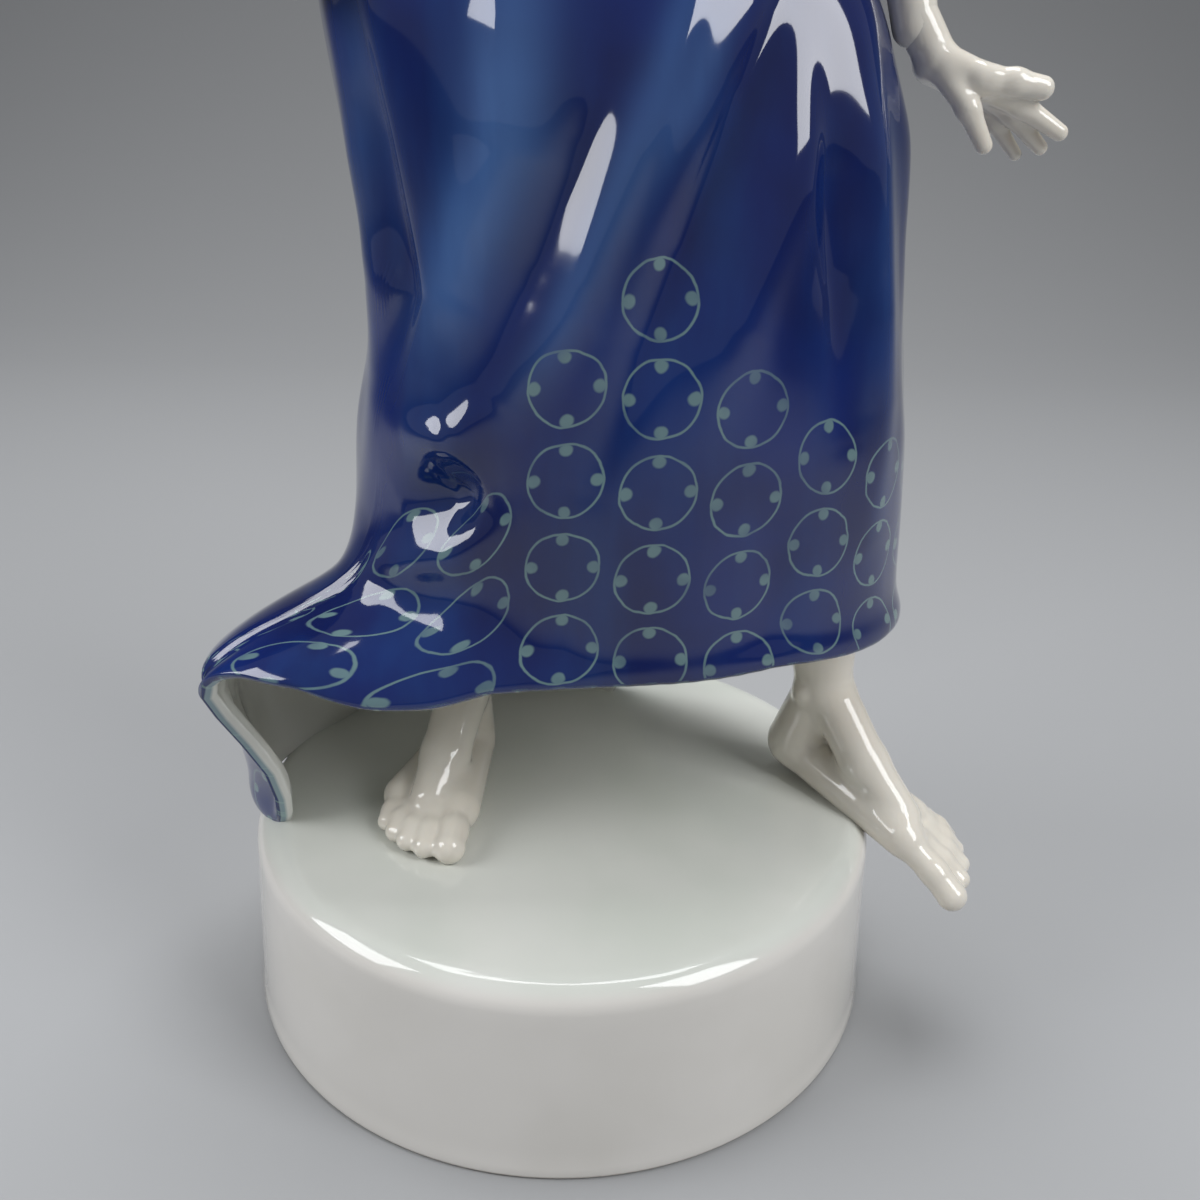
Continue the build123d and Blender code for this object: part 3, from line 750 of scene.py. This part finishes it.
def make_bodice(cloth):
    levels = np.array([(WAIST - 0.5, 0, 0, 22, 16), (232, 0.5, 0, 22.5, 16.5), (244, 1, -0.5, 24.5, 18.5),
                       (254, 1, -1, 26, 20), (NECKLINE, 0.5, 0, 26.5, 17.5)])
    z = np.linspace(WAIST - 0.5, NECKLINE, 46)
    cx, cy, a, b = [np.interp(z, levels[:, 0], levels[:, c])[:, None] for c in (1, 2, 3, 4)]
    t = np.radians(np.arange(0, 360, 2.0))[None, :]
    rise = ((z - WAIST) / (NECKLINE - WAIST))[:, None]
    bust = 1.2 * np.exp(-(((rise - 0.66) / 0.2) ** 2)) * (np.exp(-(((t - math.radians(245)) / 0.34) ** 2))
                                                          + np.exp(-(((t - math.radians(295)) / 0.34) ** 2)))
    gathers = 0.35 * np.sin(30 * t + 5 * rise) * (1.0 - 0.6 * rise)
    roll = -1.2 * np.clip((rise - 0.95) / 0.05, 0, 1) ** 2
    grow = bust + gathers + roll
    rings = np.stack([cx + (a + grow) * np.cos(t), cy + (b + grow) * np.sin(t), z[:, None] + 0 * t], -1)
    dress_up(capped_rings("bodice_form", rings, cloth), "blue_glaze", "bodice")


def make_sleeves(cloth):
    for side, x in (("left", 31.0), ("right", -30.0)):

        def gathered(p, x=x):
            return 0.35 * np.sin(18 * np.arctan2(p[:, 1] - 3, p[:, 0] - x)) - 0.2

        puff = [egg((x, 3, 264.5), (11.2, 11.6, 11.0))]
        sleeve = modelled(f"{side}_sleeve_form", puff, cloth, 1.0, 0.6, ripple=gathered)
        dress_up(sleeve, "blue_glaze", f"{side}_sleeve")


def make_sash(pale):
    low, high = node_box("sash")
    z = np.linspace(low[2], high[2], 26)
    share = (z - low[2]) / (high[2] - low[2])
    swell = 0.9 * np.sin(np.pi * share) ** 0.6 + 0.3 * np.abs(np.sin(3.5 * np.pi * share))
    t = np.radians(np.arange(0, 360, 2.5))
    rings = np.array([
        [((24.3 + s) * math.cos(q) + 0.1, (17.8 + s) * math.sin(q), h) for q in t]
        for h, s in zip(z, swell)
    ])
    dress_up(capped_rings("sash_form", rings, pale), "pale_glaze", "sash")


BEAD_RADIUS = 0.8


def bead_tree(material):
    """Geometry nodes: beads set at equal steps round an oval."""
    tree = bpy.data.node_groups.new("oval_of_beads", "GeometryNodeTree")
    face = tree.interface
    for name, kind, value in (
        ("Half Width", "NodeSocketFloat", 0.025),
        ("Half Depth", "NodeSocketFloat", 0.018),
        ("Bead Radius", "NodeSocketFloat", BEAD_RADIUS * MM),
        ("Count", "NodeSocketInt", 60),
    ):
        socket = face.new_socket(name, in_out="INPUT", socket_type=kind)
        socket.default_value = value
    face.new_socket("Geometry", in_out="OUTPUT", socket_type="NodeSocketGeometry")
    nodes, links = tree.nodes, tree.links
    given, result = nodes.new("NodeGroupInput"), nodes.new("NodeGroupOutput")
    circle, place = nodes.new("GeometryNodeCurvePrimitiveCircle"), nodes.new("GeometryNodeTransform")
    circle.inputs["Radius"].default_value = 1.0
    joined = nodes.new("ShaderNodeCombineXYZ")
    points, ball = nodes.new("GeometryNodeCurveToPoints"), nodes.new("GeometryNodeMeshUVSphere")
    ball.inputs["Segments"].default_value = 12
    ball.inputs["Rings"].default_value = 8
    put, real = nodes.new("GeometryNodeInstanceOnPoints"), nodes.new("GeometryNodeRealizeInstances")
    paint = nodes.new("GeometryNodeSetMaterial")
    paint.inputs["Material"].default_value = material
    circle.inputs["Resolution"].default_value = 128
    joined.inputs["Z"].default_value = 1.0
    links.new(given.outputs["Half Width"], joined.inputs["X"])
    links.new(given.outputs["Half Depth"], joined.inputs["Y"])
    links.new(joined.outputs[0], place.inputs["Scale"])
    links.new(circle.outputs["Curve"], place.inputs["Geometry"])
    links.new(place.outputs[0], points.inputs["Curve"])
    links.new(given.outputs["Count"], points.inputs["Count"])
    links.new(points.outputs["Points"], put.inputs["Points"])
    links.new(given.outputs["Bead Radius"], ball.inputs["Radius"])
    links.new(ball.outputs["Mesh"], put.inputs["Instance"])
    links.new(put.outputs[0], real.inputs[0])
    links.new(real.outputs[0], paint.inputs["Geometry"])
    links.new(paint.outputs[0], result.inputs["Geometry"])
    return tree


def bead_row(tree, name, height, half_width, half_depth, count):
    holder = mesh_object(name + "_holder", np.zeros((0, 3)), [], recalc=False)
    modifier = holder.modifiers.new("Beads", "NODES")
    modifier.node_group = tree
    values = {
        "Half Width": half_width * MM,
        "Half Depth": half_depth * MM,
        "Bead Radius": BEAD_RADIUS * MM,
        "Count": count,
    }
    for item in tree.interface.items_tree:
        if item.in_out == "INPUT":
            modifier[item.identifier] = values[item.name]
    graph = bpy.context.evaluated_depsgraph_get()
    mesh = bpy.data.meshes.new_from_object(holder.evaluated_get(graph))
    bpy.data.objects.remove(holder)
    mesh.transform(Matrix.Translation((0, 0, height * MM)))
    mesh.polygons.foreach_set("use_smooth", [True] * len(mesh.polygons))
    row = bpy.data.objects.new(name, mesh)
    bpy.context.scene.collection.objects.link(row)
    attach(row, "root")


# ------------------------------------------------------------------ stage

CAMERA_PLACE = (0.00018, -0.20388, 0.17214)
CAMERA_PITCH, CAMERA_ROLL, CAMERA_YAW = math.radians(24.57), math.radians(1.72), -0.028


def make_camera():
    forward = Vector((0, math.cos(CAMERA_PITCH), -math.sin(CAMERA_PITCH)))
    turn = Matrix.Rotation(CAMERA_YAW, 3, "Z")
    forward, right = turn @ forward, turn @ Vector((1, 0, 0))
    up = right.cross(forward)
    across = math.cos(CAMERA_ROLL) * right + math.sin(CAMERA_ROLL) * up
    rise = -math.sin(CAMERA_ROLL) * right + math.cos(CAMERA_ROLL) * up
    data = bpy.data.cameras.new("camera")
    data.lens, data.sensor_width, data.clip_start = 36.0, 36.0, 0.01
    camera = bpy.data.objects.new("camera", data)
    basis = Matrix((across, rise, -forward)).transposed().to_4x4()
    camera.matrix_world = Matrix.Translation(CAMERA_PLACE) @ basis
    bpy.context.scene.collection.objects.link(camera)
    bpy.context.scene.camera = camera


def soft_window(name, place, target, width, height, watts):
    data = bpy.data.lights.new(name, "AREA")
    data.shape, data.size, data.size_y, data.energy = "RECTANGLE", width, height, watts
    data.color = (0.97, 0.98, 1.0)
    lamp = bpy.data.objects.new(name, data)
    lamp.location = place
    lamp.rotation_mode = "QUATERNION"
    lamp.rotation_quaternion = (Vector(target) - Vector(place)).to_track_quat("-Z", "Y")
    bpy.context.scene.collection.objects.link(lamp)


def make_stage():
    """A seamless grey sweep: floor, a wide curve, and the wall it turns into."""
    start, bend, top, wide = 500.0, 900.0, 3500.0, 4000.0
    outline = [(-2500.0, 0.0), (start, 0.0)]
    sweep = np.radians(np.arange(5, 91, 5))
    outline += [(start + bend * math.sin(t), bend * (1 - math.cos(t))) for t in sweep]
    outline.append((start + bend, top))
    verts = [(x, y, z) for y, z in outline for x in (-wide, wide)]
    faces = [(2 * i, 2 * i + 1, 2 * i + 3, 2 * i + 2) for i in range(len(outline) - 1)]
    floor = mesh_object("floor", verts, faces, recalc=False)
    material = bpy.data.materials.new("floor_grey")
    material.use_nodes = True
    surface = material.node_tree.nodes["Principled BSDF"]
    surface.inputs["Base Color"].default_value = (0.36, 0.365, 0.37, 1)
    surface.inputs["Roughness"].default_value = 0.8
    floor.data.materials.append(material)
    world = bpy.data.worlds.new("studio")
    world.use_nodes = True
    world.node_tree.nodes["Background"].inputs["Color"].default_value = (0.66, 0.67, 0.70, 1)
    world.node_tree.nodes["Background"].inputs["Strength"].default_value = 0.32
    bpy.context.scene.world = world
    bpy.context.scene.view_settings.view_transform = "Standard"
    soft_window("window_right", (0.42, -0.30, 0.52), (0, 0, 0.13), 0.30, 0.42, 2.7)
    soft_window("window_left", (-0.55, -0.15, 0.42), (0, 0, 0.10), 0.35, 0.35, 2.3)
    soft_window("ceiling", (0.0, 0.25, 0.95), (0, 0, 0.1), 0.7, 0.5, 6.2)


# ------------------------------------------------------------------ assembly

SKIN = soft_glaze("cream_skin", (0.76, 0.72, 0.635), (0.73, 0.68, 0.59))
HAIR = soft_glaze("brown_hair", (0.20, 0.115, 0.06), (0.12, 0.065, 0.035), 120.0, 0.0)
PALE = soft_glaze("pale_sash", (0.42, 0.52, 0.58), (0.32, 0.44, 0.52), 90.0, 0.0)
BODICE_BLUE = soft_glaze("bodice_blue", (0.006, 0.032, 0.155), (0.03, 0.09, 0.27), 60.0, 0.0)

make_plinth()
make_dress()
make_feet(SKIN)
make_arms(SKIN)
make_hands(SKIN)
make_shoulders(SKIN)
make_head(SKIN, HAIR)
make_bodice(BODICE_BLUE)
make_sleeves(BODICE_BLUE)
make_sash(PALE)
BEADS = bead_tree(PALE)
bead_row(BEADS, "waist_beads", WAIST + 0.9, 24.8, 18.3, 84)
bead_row(BEADS, "neckline_beads", NECKLINE - 1.0, 26.4, 17.6, 88)
make_camera()
make_stage()
